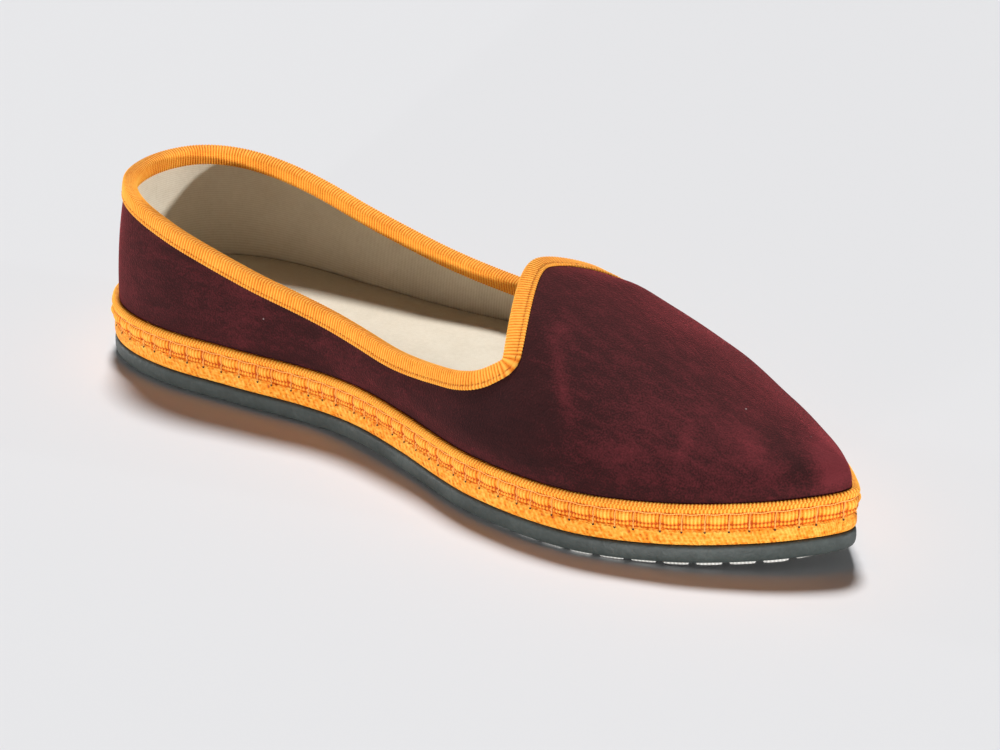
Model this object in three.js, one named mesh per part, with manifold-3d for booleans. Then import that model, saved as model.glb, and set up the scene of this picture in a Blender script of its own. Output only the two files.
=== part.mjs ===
// A furlane slipper for the left foot: a velvet upper sewn to a cloth midsole over a sole of
// tyre-tread rubber, with its edges bound in ribbed tape. Millimetres. +X points to the toe,
// +Y to the outer side of the foot, +Z up. The origin is on the floor under the middle of the shoe.
import * as THREE from "three";
import { mergeVertices } from "three/addons/utils/BufferGeometryUtils.js";
import Module from "manifold-3d";

const wasm = await Module();
wasm.setup();

// Driving dimensions of the last
const LENGTH = 256;
const BALL_WIDTH = 84;
const INSTEP_HEIGHT = 57;
const HEEL_HEIGHT = 52;
const WAIST_HEIGHT = 32;
const TOE_SPRING = 5;
const ARCH_LIFT = 0.8;

// Heights of the sole's layers above the floor, where the sole lies flat
const RUBBER_TOP = 5.4;
const LEDGE_HEIGHT = 10;
const MIDSOLE_TOP = 15;
const TAPE_TOP = 18;
const INSOLE_THICKNESS = 2.4;

// Cloth thicknesses, and the gap between pieces that touch
const WALL = 2;
const TAPE_THICKNESS = 0.8;
const QUARTER_TAPE_WIDTH = 4;
const THROAT_TAPE_WIDTH = 5.5;
const GAP = 0.3;

// The upper's foot stands this far inside the outline of the sole
const UPPER_INSET = 1.6;

// The ledge of the midsole that carries the border tape is this deep
const LEDGE_DEPTH = 2.4;

// Sections of the last at equal steps of a half circle drawn over its length, so that they crowd
// towards the heel and the toe. The half widths are shares of the ball width. The crest is the
// height of the ridge as a share of the instep, and the fullness is the exponent of the arch,
// where 2 is an ellipse and less is leaner.
const SECTIONS = [
  { medial: 0.01, lateral: -0.01, crest: 1.51, fullness: 2.3 },
  { medial: 0.218, lateral: 0.195, crest: 1.5, fullness: 2.3 },
  { medial: 0.353, lateral: 0.323, crest: 1.47, fullness: 2.3 },
  { medial: 0.4, lateral: 0.385, crest: 1.4, fullness: 2.3 },
  { medial: 0.37, lateral: 0.404, crest: 1.3, fullness: 2.2 },
  { medial: 0.33, lateral: 0.43, crest: 1.18, fullness: 2.0 },
  { medial: 0.4, lateral: 0.466, crest: 1.045, fullness: 1.85 },
  { medial: 0.502, lateral: 0.506, crest: 0.945, fullness: 2.02 },
  { medial: 0.504, lateral: 0.505, crest: 0.806, fullness: 1.95 },
  { medial: 0.398, lateral: 0.38, crest: 0.662, fullness: 1.92 },
  { medial: 0.248, lateral: 0.213, crest: 0.578, fullness: 2.2 },
  { medial: 0.106, lateral: 0.073, crest: 0.546, fullness: 2.55 },
  { medial: 0.008, lateral: -0.008, crest: 0.536, fullness: 2.8 },
];
const LAST_ROW = SECTIONS.length - 1;
const RING_ROWS = 2 * LAST_ROW;

// The ridge of the last stops short of the heel and toe, at these shares of the length
const RIDGE_HEEL = 0.1;
const RIDGE_TOE = 0.969;

// Side view of the topline from the heel to the foot of the throat: share of the length, and height
const TOPLINE = [
  { along: -0.06, height: HEEL_HEIGHT + 1 },
  { along: 0, height: HEEL_HEIGHT + 0.7 },
  { along: 0.06, height: HEEL_HEIGHT - 0.5 },
  { along: 0.12, height: HEEL_HEIGHT - 3 },
  { along: 0.18, height: WAIST_HEIGHT + 13.5 },
  { along: 0.24, height: WAIST_HEIGHT + 9.5 },
  { along: 0.3, height: WAIST_HEIGHT + 6 },
  { along: 0.36, height: WAIST_HEIGHT + 3 },
  { along: 0.42, height: WAIST_HEIGHT + 1 },
  { along: 0.48, height: WAIST_HEIGHT },
  { along: 0.54, height: WAIST_HEIGHT + 1.2 },
  { along: 0.6, height: WAIST_HEIGHT + 4.6 },
  { along: 0.66, height: WAIST_HEIGHT + 12.5 },
];

// Top view of the throat: a tongue with a round back, where the sides run forward from its peak
const THROAT_ALONG = 0.581;
const THROAT_SLOPE = 0.6;
const THROAT_ROUND = 7;

// Corner where the topline turns up into the throat, in side view
const CORNER_ALONG = 0.638;
const CORNER_RADIUS = 2.5;

// Points round the outline, steps from foot to ridge, and samples of the topline's side view
const RING_POINTS = 80;
const ARCH_STEPS = 9;
const TOPLINE_STEPS = 18;
const CORNER_STEPS = 5;
const THROAT_STEPS = 11;

// Vertices nearer than this are one vertex after a cut
const WELD = 0.02;

// Tread of the sole: blocks in rows beside a bare middle rib, cut by grooves
const TREAD_PITCH = 12;
const TREAD_SHIFT = 1.3;
const RIB_HALF_WIDTH = 6;
const BLOCK_ROW_EDGE = 19;
const SHOULDER_EDGE = 31;
const GROOVE_WIDTH = 1.4;
const SIPE_WIDTH = 0.9;
const GROOVE_DEPTH = 1.3;
const DASH_LENGTH = 7.5;
const TREAD_MARGIN = 7;

function smoothRow(values, t) {
  // A smooth curve through the values at whole t, where values(i) gives the value of row i
  const i = Math.floor(t);
  const u = t - i;
  const [a, b, c, d] = [values(i - 1), values(i), values(i + 1), values(i + 2)];
  const cubic = -a + 3 * b - 3 * c + d;
  const square = 2 * a - 5 * b + 4 * c - d;
  return 0.5 * (2 * b + u * (c - a + u * (square + u * cubic)));
}

function column(name, t) {
  // A column of the sections at row t, mirrored past the heel and the toe
  const mirrored = (i) => SECTIONS[LAST_ROW - Math.abs(LAST_ROW - Math.abs(i))][name];
  return smoothRow(mirrored, t);
}

function sideways(row) {
  // Y of the outline at a row counted round it: heel, inner side, toe, outer side
  const i = ((row % RING_ROWS) + RING_ROWS) % RING_ROWS;
  if (i <= LAST_ROW) {
    return -SECTIONS[i].medial * BALL_WIDTH;
  }
  return SECTIONS[RING_ROWS - i].lateral * BALL_WIDTH;
}

function outlinePoint(t) {
  const x = (-LENGTH / 2) * Math.cos((Math.PI * t) / LAST_ROW);
  return new THREE.Vector2(x, smoothRow(sideways, t));
}

function outlineRing(offset) {
  // The outline moved outwards by the offset, counter-clockwise from the heel
  const ring = [];
  for (let k = 0; k < RING_POINTS; k += 1) {
    const t = (k * RING_ROWS) / RING_POINTS;
    const tangent = outlinePoint(t + 0.01).sub(outlinePoint(t - 0.01)).normalize();
    const outward = new THREE.Vector2(tangent.y, -tangent.x);
    ring.push(outlinePoint(t).addScaledVector(outward, offset));
  }
  return ring;
}

function rise(x) {
  // How far the sole lifts off the floor: a low arch at the waist, and the spring of the toe
  const along = x / LENGTH + 0.5;
  const toe = THREE.MathUtils.clamp((along - 0.74) / 0.26, 0, 1);
  const arch = THREE.MathUtils.clamp((along - 0.34) / 0.22, 0, 1);
  return TOE_SPRING * toe ** 2 + ARCH_LIFT * Math.sin(Math.PI * arch) ** 2;
}

function layerRing([offset, height]) {
  return outlineRing(offset).map((p) => new THREE.Vector3(p.x, p.y, height + rise(p.x)));
}

function stackFaces(rings, closed) {
  // Quads between each ring and the next, and from the last back to the first where closed
  const n = RING_POINTS;
  const index = [];
  const bands = closed ? rings.length : rings.length - 1;
  for (let r = 0; r < bands; r += 1) {
    const low = r * n;
    const high = ((r + 1) % rings.length) * n;
    for (let k = 0; k < n; k += 1) {
      const next = (k + 1) % n;
      index.push(low + k, low + next, high + next, low + k, high + next, high + k);
    }
  }
  return index;
}

function capFaces(start, up) {
  // Strips across a ring, from its inner side to its outer side
  const n = RING_POINTS;
  const index = [];
  for (let k = 0; k < n / 2; k += 1) {
    const quad = [k, k + 1, n - k - 1, (n - k) % n].map((i) => start + i);
    const faces = [[quad[0], quad[1], quad[2]], [quad[0], quad[2], quad[3]]];
    for (const [a, b, c] of faces) {
      if (a !== b && b !== c && c !== a) {
        index.push(...(up ? [a, b, c] : [c, b, a]));
      }
    }
  }
  return index;
}

function ringGeometry(rings, index) {
  const geometry = new THREE.BufferGeometry().setFromPoints(rings.flat());
  geometry.setIndex(index);
  return geometry;
}

function slab(profile) {
  // A solid between a bottom face and a top face, with a side profile of [offset, height] rows
  const rings = profile.map(layerRing);
  const top = (rings.length - 1) * RING_POINTS;
  const index = [...stackFaces(rings, false), ...capFaces(0, false), ...capFaces(top, true)];
  return ringGeometry(rings, index);
}

function hoop(profile) {
  // A closed profile of [offset, height] rows carried round the outline
  const rings = profile.map(layerRing);
  return ringGeometry(rings, stackFaces(rings, true));
}

function weld(geometry, tolerance) {
  // Merge close vertices, and drop the triangles that vanish with them
  const merged = mergeVertices(geometry, tolerance);
  const corners = Array.from(merged.index.array);
  const kept = [];
  for (let i = 0; i < corners.length; i += 3) {
    const [a, b, c] = corners.slice(i, i + 3);
    if (a !== b && b !== c && c !== a) {
      kept.push(a, b, c);
    }
  }
  merged.setIndex(kept);
  return merged;
}

function solid(geometry) {
  const bare = geometry.clone();
  bare.deleteAttribute("normal");
  bare.deleteAttribute("uv");
  const merged = weld(bare, 1e-4);
  return new wasm.Manifold(new wasm.Mesh({
    numProp: 3,
    vertProperties: new Float32Array(merged.attributes.position.array),
    triVerts: new Uint32Array(merged.index.array),
  }));
}

function geometryOf(body) {
  const mesh = body.getMesh();
  const geometry = new THREE.BufferGeometry();
  geometry.setAttribute("position", new THREE.BufferAttribute(mesh.vertProperties, 3));
  geometry.setIndex(new THREE.BufferAttribute(mesh.triVerts, 1));
  return weld(geometry, WELD);
}

function lastForm(inset, skirt) {
  // The closed form of the last, moved inwards by the inset, with a straight skirt under its foot.
  // Each rib of the form is a quarter of an arch from the outline to the ridge.
  const foot = outlineRing(-UPPER_INSET - inset);
  const base = MIDSOLE_TOP + GAP;
  const rings = [foot.map((p) => new THREE.Vector3(p.x, p.y, base - skirt + rise(p.x)))];
  for (let step = 0; step <= ARCH_STEPS; step += 1) {
    const angle = (Math.PI / 2) * (step / ARCH_STEPS);
    rings.push(foot.map((p, k) => {
      const t = (Math.min(k, RING_POINTS - k) * RING_ROWS) / RING_POINTS;
      const along = 0.5 - 0.5 * Math.cos((Math.PI * t) / LAST_ROW);
      const ridgeX = LENGTH * (RIDGE_HEEL + (RIDGE_TOE - RIDGE_HEEL) * along - 0.5);
      const ridgeY = ((sideways(LAST_ROW) * along) ** 3) / sideways(LAST_ROW) ** 2;
      const crest = column("crest", t) * INSTEP_HEIGHT - inset;
      const power = 2 / column("fullness", t);
      const inwards = 1 - Math.cos(angle) ** power;
      const upwards = Math.sin(angle) ** power;
      const low = base + rise(p.x);
      return new THREE.Vector3(
        p.x + (ridgeX - p.x) * inwards,
        p.y + (ridgeY - p.y) * inwards,
        low + (crest - low) * upwards,
      );
    }));
  }
  const index = [...stackFaces(rings, false), ...capFaces(0, false)];
  return solid(ringGeometry(rings, index));
}

function toplineHeight(x) {
  const along = x / LENGTH + 0.5;
  const step = TOPLINE[1].along - TOPLINE[0].along;
  const last = TOPLINE.length - 1;
  const row = (i) => TOPLINE[THREE.MathUtils.clamp(i, 0, last)].height;
  return smoothRow(row, (along - TOPLINE[0].along) / step);
}

function throatX(y) {
  // X of the throat's edge in top view: a rounded V with its point towards the heel
  const spread = Math.hypot(y, THROAT_ROUND) - THROAT_ROUND;
  return LENGTH * (THROAT_ALONG - 0.5) + THROAT_SLOPE * spread;
}

function sideBlock(points) {
  // A block through the whole width of the shoe, from a closed outline in its side view
  const shape = new THREE.Shape(points);
  const geometry = new THREE.ExtrudeGeometry(shape, { depth: 2 * BALL_WIDTH, bevelEnabled: false });
  geometry.rotateX(Math.PI / 2).translate(0, BALL_WIDTH, 0);
  return solid(geometry);
}

function overTopline(raise) {
  // All that lies above the topline, raised by the given height, and behind its corner
  const radius = CORNER_RADIUS - raise;
  const start = LENGTH * (TOPLINE[0].along - 0.5);
  const bend = LENGTH * (CORNER_ALONG - 0.5) - CORNER_RADIUS;
  const points = [];
  for (let i = 0; i <= TOPLINE_STEPS; i += 1) {
    const x = start + ((bend - start) * i) / TOPLINE_STEPS;
    points.push(new THREE.Vector2(x, toplineHeight(x) + raise));
  }
  const foot = points[TOPLINE_STEPS].y;
  for (let i = 1; i <= CORNER_STEPS; i += 1) {
    const angle = (Math.PI / 2) * (i / CORNER_STEPS);
    const x = bend + radius * Math.sin(angle);
    points.push(new THREE.Vector2(x, foot + radius * (1 - Math.cos(angle))));
  }
  const ceiling = 2 * INSTEP_HEIGHT;
  points.push(new THREE.Vector2(bend + radius, ceiling));
  points.push(new THREE.Vector2(start, ceiling));
  return sideBlock(points);
}

function behindThroat(forward) {
  // All that lies behind the throat's edge, moved forward by the given length
  const points = [];
  for (let i = 0; i <= THROAT_STEPS; i += 1) {
    const y = BALL_WIDTH * (i / THROAT_STEPS - 0.5);
    points.push(new THREE.Vector2(throatX(y) + forward, y));
  }
  points.push(new THREE.Vector2(-LENGTH, BALL_WIDTH / 2));
  points.push(new THREE.Vector2(-LENGTH, -BALL_WIDTH / 2));
  const geometry = new THREE.ExtrudeGeometry(new THREE.Shape(points), {
    depth: 2 * INSTEP_HEIGHT,
    bevelEnabled: false,
  });
  return solid(geometry);
}

function opening(shrink) {
  // The mouth of the shoe, from its topline upwards and its throat backwards
  return overTopline(shrink).intersect(behindThroat(-shrink));
}

function shell(outer, inner) {
  return lastForm(outer, 0).subtract(lastForm(inner, 2 * WALL));
}

function upperGeometry() {
  return geometryOf(shell(0, WALL).subtract(opening(0)));
}

function toplineTapeGeometry() {
  // The tape is folded over the edge of the upper, from outside to inside
  const proud = GAP + TAPE_THICKNESS;
  const strip = overTopline(-QUARTER_TAPE_WIDTH).intersect(behindThroat(THROAT_TAPE_WIDTH));
  const folded = shell(-proud, WALL + proud).intersect(strip).subtract(opening(proud));
  const room = shell(-GAP, WALL + GAP).subtract(opening(GAP));
  return geometryOf(folded.subtract(room));
}

function borderTapeGeometry() {
  // Two soft rolls of tape round the foot of the upper, drawn in between them by the seam
  const seat = LEDGE_HEIGHT + GAP;
  const behindSole = GAP - LEDGE_DEPTH;
  const behindUpper = GAP - UPPER_INSET;
  return hoop([
    [behindSole, seat],
    [-0.3, seat],
    [0.5, seat + 1],
    [0.7, seat + 2.4],
    [-0.1, MIDSOLE_TOP - 0.1],
    [0.3, MIDSOLE_TOP + 0.9],
    [0.1, TAPE_TOP - 0.8],
    [-0.7, TAPE_TOP],
    [behindUpper, TAPE_TOP],
    [behindUpper, MIDSOLE_TOP],
    [behindSole, MIDSOLE_TOP],
  ]);
}

function midsoleGeometry() {
  // The woven wrap swells above the rubber, and a ledge over it carries the border tape
  const floor = RUBBER_TOP + GAP;
  return slab([
    [-1.6, floor],
    [-0.3, floor + 2],
    [-0.5, LEDGE_HEIGHT - 0.9],
    [-1.2, LEDGE_HEIGHT],
    [-LEDGE_DEPTH, LEDGE_HEIGHT],
    [-LEDGE_DEPTH, MIDSOLE_TOP],
  ]);
}

function insoleGeometry() {
  // A sheet over the midsole, trimmed to the inside of the upper
  const floor = MIDSOLE_TOP + GAP;
  const sheet = solid(slab([[0, floor], [0, floor + INSOLE_THICKNESS]]));
  return geometryOf(sheet.intersect(lastForm(WALL + GAP, WALL)));
}

function withinTread(x, y) {
  // Whether a point lies well inside the outline of the sole
  const t = (LAST_ROW * Math.acos(THREE.MathUtils.clamp((-2 * x) / LENGTH, -1, 1))) / Math.PI;
  const inner = smoothRow(sideways, t) + TREAD_MARGIN;
  const outer = smoothRow(sideways, RING_ROWS - t) - TREAD_MARGIN;
  return y > inner && y < outer;
}

function treadCut(x, corners) {
  // A groove in the tread, from its corners in top view, with its floor level
  const depth = GROOVE_DEPTH + 1;
  const shape = new THREE.Shape(corners.map(([along, across]) => new THREE.Vector2(x + along, across)));
  const geometry = new THREE.ExtrudeGeometry(shape, { depth, bevelEnabled: false });
  return solid(geometry.translate(0, 0, rise(x) - 1));
}

function treadCuts() {
  // At every pitch, beside the middle rib, an L of sipe and dash, and a T further out
  const half = SIPE_WIDTH / 2;
  const wide = GROOVE_WIDTH / 2;
  const reach = DASH_LENGTH / 2;
  const inner = [
    [-half, RIB_HALF_WIDTH - half],
    [DASH_LENGTH, RIB_HALF_WIDTH - half],
    [DASH_LENGTH, RIB_HALF_WIDTH + half],
    [half, RIB_HALF_WIDTH + half],
    [half, BLOCK_ROW_EDGE - 2],
    [-half, BLOCK_ROW_EDGE - 2],
  ];
  const outer = [
    [-reach, BLOCK_ROW_EDGE - wide],
    [reach, BLOCK_ROW_EDGE - wide],
    [reach, BLOCK_ROW_EDGE + wide],
    [half, BLOCK_ROW_EDGE + wide],
    [half, SHOULDER_EDGE],
    [-half, SHOULDER_EDGE],
    [-half, BLOCK_ROW_EDGE + wide],
    [-reach, BLOCK_ROW_EDGE + wide],
  ];
  const cuts = [];
  const rows = Math.floor(LENGTH / TREAD_PITCH);
  for (let row = 0; row < rows; row += 1) {
    const x = TREAD_SHIFT + (row - (rows - 1) / 2) * TREAD_PITCH;
    for (const side of [-1, 1]) {
      for (const [start, letter] of [[x, inner], [x + TREAD_PITCH / 2, outer]]) {
        const corners = letter.map(([along, across]) => [along, side * across]);
        if (corners.every(([along, across]) => withinTread(start + along, across))) {
          cuts.push(treadCut(start, corners));
        }
      }
    }
  }
  return cuts;
}

function outsoleGeometry() {
  // The lower edge is rounded, and curls up a little from the floor all round
  let body = solid(slab([
    [-3, 0],
    [-0.9, 0.4],
    [-0.2, 1.3],
    [0, 2.8],
    [-0.1, RUBBER_TOP - 0.7],
    [-0.7, RUBBER_TOP],
  ]));
  for (const cut of treadCuts()) {
    body = body.subtract(cut);
  }
  return geometryOf(body);
}

const slipper = new THREE.Group();

function addPiece(name, geometry, color, roughness) {
  const material = new THREE.MeshStandardMaterial({ color, roughness, metalness: 0 });
  const mesh = new THREE.Mesh(geometry, material);
  mesh.name = name;
  slipper.add(mesh);
}

addPiece("outsole", outsoleGeometry(), 0x4b5554, 0.7);
addPiece("midsole", midsoleGeometry(), 0xf29a35, 0.9);
addPiece("border_tape", borderTapeGeometry(), 0xfba536, 0.85);
addPiece("upper", upperGeometry(), 0x512e2e, 0.95);
addPiece("topline_tape", toplineTapeGeometry(), 0xfba536, 0.85);
addPiece("insole", insoleGeometry(), 0xe6dfd0, 0.95);

export default slipper;
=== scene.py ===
# %% [markdown]
# # A furlane slipper
# A furlane slipper is sewn by hand: a velvet upper, bindings of ribbed tape, a midsole of quilted cloth
# and a sole cut from a tyre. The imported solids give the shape. This lesson repeats the shape's few
# formulas with numpy and lays a finer surface of cloth, tape, rubber and thread on each solid.

# %% Load the solids
import bmesh
import bpy
import numpy as np
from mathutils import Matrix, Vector


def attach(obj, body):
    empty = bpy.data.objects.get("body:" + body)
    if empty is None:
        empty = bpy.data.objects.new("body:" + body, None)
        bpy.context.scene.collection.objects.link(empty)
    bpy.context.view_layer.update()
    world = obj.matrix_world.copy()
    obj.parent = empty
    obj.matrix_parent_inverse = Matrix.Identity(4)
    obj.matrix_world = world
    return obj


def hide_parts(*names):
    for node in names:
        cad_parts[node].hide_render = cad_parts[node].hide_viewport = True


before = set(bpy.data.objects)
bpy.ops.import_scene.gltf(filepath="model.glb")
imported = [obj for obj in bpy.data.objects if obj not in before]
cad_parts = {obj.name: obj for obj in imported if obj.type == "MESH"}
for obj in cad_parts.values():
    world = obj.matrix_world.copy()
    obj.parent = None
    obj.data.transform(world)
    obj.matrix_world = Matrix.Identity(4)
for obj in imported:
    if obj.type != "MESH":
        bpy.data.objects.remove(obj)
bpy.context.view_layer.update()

MM = 0.001

# %% [markdown]
# ## From arrays to a mesh
# A surface here is a grid of points: rows along a path and columns across it. The quads between them
# need no loop, only whole-number arithmetic on arrays. Blender takes flat arrays through `foreach_set`,
# which is far quicker than adding vertices one by one.

# %% Grid and mesh helpers
def grid(rows, columns, wrap_rows=False, wrap_columns=False):
    """Quads over a grid: corner numbers of each quad, and its corners' row and column before wrapping."""
    r, c = np.meshgrid(
        np.arange(rows if wrap_rows else rows - 1),
        np.arange(columns if wrap_columns else columns - 1),
        indexing="ij",
    )
    r, c = r.ravel(), c.ravel()
    corner_row = np.stack([r, r + 1, r + 1, r], axis=1)
    corner_column = np.stack([c, c, c + 1, c + 1], axis=1)
    faces = (corner_row % rows) * columns + corner_column % columns
    return faces, corner_row, corner_column


def make_piece(name, points, faces, material, uv=None, node=None, marks=None):
    """A mesh from points in millimetres and quads, with its faces turned outwards, riding on the shoe."""
    mesh = bpy.data.meshes.new(name)
    mesh.vertices.add(len(points))
    mesh.vertices.foreach_set("co", (points * MM).astype(np.float32).ravel())
    mesh.loops.add(faces.size)
    mesh.loops.foreach_set("vertex_index", faces.astype(np.int32).ravel())
    mesh.polygons.add(len(faces))
    mesh.polygons.foreach_set("loop_start", np.arange(0, faces.size, 4, dtype=np.int32))
    mesh.update(calc_edges=True)
    if uv is not None:
        mesh.uv_layers.new(name="cloth").data.foreach_set("uv", uv.astype(np.float32).ravel())
    for mark, values in (marks or {}).items():
        layer = mesh.attributes.new(mark, "FLOAT", "POINT")
        layer.data.foreach_set("value", np.ravel(values).astype(np.float32))
    middle = points.mean(axis=0)
    a, b, c, d = (points[faces[:, k]] - middle for k in range(4))
    if np.einsum("ij,ij->", a, np.cross(b, c) + np.cross(c, d)) < 0:
        mesh.flip_normals()
    work = bmesh.new()
    work.from_mesh(mesh)
    bmesh.ops.remove_doubles(work, verts=work.verts, dist=1e-6)
    bmesh.ops.dissolve_degenerate(work, edges=work.edges, dist=1e-7)
    loose = [v for v in work.verts if not v.link_faces]
    bmesh.ops.delete(work, geom=loose, context="VERTS")
    work.to_mesh(mesh)
    work.free()
    mesh.shade_smooth()
    mesh.materials.append(material)
    piece = bpy.data.objects.new(name, mesh)
    bpy.context.collection.objects.link(piece)
    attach(piece, "root")
    if node:
        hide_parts(node)
    print(f"{name}: {len(mesh.polygons)} faces")
    return piece


# %% [markdown]
# ## Building materials
# Every finish below is a small node tree round one Principled shader. One function adds a node, sets its
# values and links what is a socket. Colours are written as they look on a screen and turned to linear light.

# %% Colour and node helpers
def colour(hex_value):
    """An sRGB hex value as linear red, green, blue and full alpha."""
    srgb = np.array([int(hex_value[i:i + 2], 16) for i in (1, 3, 5)]) / 255
    linear = np.where(srgb <= 0.04045, srgb / 12.92, ((srgb + 0.055) / 1.055) ** 2.4)
    return (*linear.tolist(), 1.0)


def add(tree, kind, inputs, **settings):
    """One shader node with its settings. An input that is a socket is linked, any other is a value."""
    node = tree.nodes.new("ShaderNode" + kind)
    for key, value in settings.items():
        setattr(node, key, value)
    for key, value in inputs.items():
        if isinstance(value, bpy.types.NodeSocket):
            tree.links.new(value, node.inputs[key])
        else:
            node.inputs[key].default_value = value
    return node


def ramp(tree, factor, stops):
    """A colour ramp through pairs of place and hex colour."""
    node = add(tree, "ValToRGB", {"Fac": factor})
    elements = node.color_ramp.elements
    while len(elements) < len(stops):
        elements.new(0.5)
    for element, (place, hex_value) in zip(elements, stops):
        element.position = place
        element.color = colour(hex_value)
    return node.outputs["Color"]


def new_material(name):
    """An empty node tree with a shader wired to its output."""
    material = bpy.data.materials.new(name)
    material.use_nodes = True
    tree = material.node_tree
    return material, tree, tree.nodes["Principled BSDF"]


# %% [markdown]
# ### Velvet
# Cotton velvet is a cloth with a short cut pile. Seen straight on, light sinks between the fibres and it is
# dark. Towards the edge of a form the fibre tips catch the light, which the shader calls sheen. Where the
# pile has been stroked or pressed it lies at another slant, and leaves soft lighter and darker marks. Further
# marks are painted light: painted sheen along rims and painted shade in dents and low on the inner side.

# %% Velvet
velvet, tree, shader = new_material("burgundy_cotton_velvet")
place = add(tree, "TexCoord", {}).outputs["Object"]
# Pressed marks are about 16 mm across, streaks of the nap 2.5 mm by 8 mm, single tufts about 0.5 mm
lengthwise = add(tree, "VectorMath", {0: place, 1: (0.3, 1.0, 1.0)}, operation="MULTIPLY")
marks = add(tree, "TexNoise", {"Vector": place, "Scale": 1 / 0.016, "Detail": 4.0, "Roughness": 0.6})
streaks = add(tree, "TexNoise", {
    "Vector": lengthwise.outputs["Vector"], "Scale": 1 / 0.0025, "Detail": 3.0, "Distortion": 0.5,
})
pile = add(tree, "TexNoise", {"Vector": place, "Scale": 1 / 0.0005, "Detail": 2.0})
mixed = add(tree, "Math", {0: marks.outputs["Fac"], 1: 0.6, 2: streaks.outputs["Fac"]},
            operation="MULTIPLY_ADD")
grain = add(tree, "Math", {0: pile.outputs["Fac"], 1: 1.5, 2: mixed.outputs[0]}, operation="MULTIPLY_ADD")
# The table's marks mix real marks of the pile with painted sheen and painted shade
nap_and_light_marks = add(tree, "Attribute", {}, attribute_name="nap_and_painted_light")
nap_and_painted_light = add(tree, "Math", {0: nap_and_light_marks.outputs["Fac"], 1: 1.2, 2: grain.outputs[0]}, operation="MULTIPLY_ADD")
level = add(tree, "MapRange", {"Value": nap_and_painted_light.outputs[0], "From Min": 0.45, "From Max": 2.5})
velvet_colour = ramp(tree, level.outputs["Result"], [(0.0, "#1d1011"), (0.5, "#341718"), (1.0, "#66272c")])
# A few pale specks of lint, about 0.3 mm, one in about 12 mm
lint = add(tree, "TexVoronoi", {"Vector": place, "Scale": 1 / 0.012, "Randomness": 1.0})
speck = add(tree, "Math", {0: lint.outputs["Distance"], 1: 0.022}, operation="LESS_THAN")
flecked = add(tree, "MixRGB", {"Fac": speck.outputs[0], "Color1": velvet_colour, "Color2": colour("#8d7f7c")})
tree.links.new(flecked.outputs["Color"], shader.inputs["Base Color"])
bump = add(tree, "Bump", {"Height": grain.outputs[0], "Strength": 0.4, "Distance": 0.0006})
tree.links.new(bump.outputs["Normal"], shader.inputs["Normal"])
shader.inputs["Roughness"].default_value = 0.9
shader.inputs["Specular IOR Level"].default_value = 0.12
shader.inputs["Sheen Weight"].default_value = 0.9
shader.inputs["Sheen Roughness"].default_value = 0.35
shader.inputs["Sheen Tint"].default_value = colour("#c2484e")

# %% [markdown]
# ### Ribbed tape, woven wrap and thread
# Grosgrain tape has thick weft cords under fine warp threads, so it shows close ribs across its width. The
# ribs are real geometry here, and the material only paints shade into the furrows, paints light on the
# crests and adds single threads. The wrap of the midsole is a loose, coarse weave of thick yarn: its lines,
# 1.1 to 1.3 mm apart, are faint under the slubs, the thick places of the yarn. One function makes all these
# cottons, with other spacings and dyes.

# %% Tape, wrap and thread
RIB_PITCH = 0.9


def cotton(name, stops, along_mm, across_mm, depth, rough=0.2, lines=1.0):
    """Dyed cotton: waves of thread at two spacings, along and across its own map in mm, plus rough slubs."""
    material, tree, shader = new_material(name)
    place = add(tree, "UVMap", {}, uv_map="cloth").outputs["UV"]
    solid_place = add(tree, "TexCoord", {}).outputs["Object"]
    # One turn of a wave takes 2 pi / 20 of its scaled length, and half a turn's shift puts a crest at 0
    turn = 2 * np.pi / 20
    # The cords darken the colour in their furrows and lighten it on their crests: painted shade and painted
    # light
    cords_with_painted_shade = add(tree, "TexWave", {
        "Vector": place, "Scale": turn / along_mm, "Phase Offset": np.pi, "Distortion": 1.5 * rough,
    })
    threads = add(tree, "TexWave", {"Vector": place, "Scale": turn / across_mm, "Distortion": 0.5},
                  bands_direction="Y")
    crossing = add(tree, "Math", {0: threads.outputs["Fac"], 1: 0.4, 2: cords_with_painted_shade.outputs["Fac"]},
                   operation="MULTIPLY_ADD")
    # Both waves lie round 0.7, and the weave keeps that middle however strong its lines are
    weave = add(tree, "Math", {0: crossing.outputs[0], 1: lines, 2: 0.7 * (1 - lines)},
                operation="MULTIPLY_ADD")
    # Slubs of the spun thread, about 1.2 mm across, stand out of the weave or sink into it
    slubs = add(tree, "TexNoise", {"Vector": solid_place, "Scale": 1 / 0.0012, "Detail": 2.0})
    slub = add(tree, "Math", {0: slubs.outputs["Fac"], 1: -0.5}, operation="ADD")
    cloth = add(tree, "Math", {0: slub.outputs[0], 1: 3 * rough, 2: weave.outputs[0]},
                operation="MULTIPLY_ADD")
    # Uneven dye and handling in patches of about 9 mm
    dye = add(tree, "TexNoise", {"Vector": solid_place, "Scale": 1 / 0.009, "Detail": 3.0})
    shade = add(tree, "Math", {0: dye.outputs["Fac"], 1: 0.6, 2: cloth.outputs[0]}, operation="MULTIPLY_ADD")
    level = add(tree, "MapRange", {"Value": shade.outputs[0], "From Min": 0.15, "From Max": 1.65})
    # Painted shade darkens furrows, pinches and creases, and minus values are painted light; a piece without
    # such marks reads 0
    painted_shade_and_light = add(tree, "Attribute", {}, attribute_name="painted_shade_and_light")
    deep = add(tree, "Math", {0: painted_shade_and_light.outputs["Fac"], 1: -0.8, 2: level.outputs["Result"]},
               operation="MULTIPLY_ADD")
    tree.links.new(ramp(tree, deep.outputs[0], stops), shader.inputs["Base Color"])
    bump = add(tree, "Bump", {"Height": cloth.outputs[0], "Strength": 0.7, "Distance": depth})
    tree.links.new(bump.outputs["Normal"], shader.inputs["Normal"])
    shader.inputs["Roughness"].default_value = 0.72
    shader.inputs["Specular IOR Level"].default_value = 0.3
    shader.inputs["Sheen Weight"].default_value = 0.1
    shader.inputs["Sheen Tint"].default_value = colour(stops[-1][1])
    return material


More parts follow.
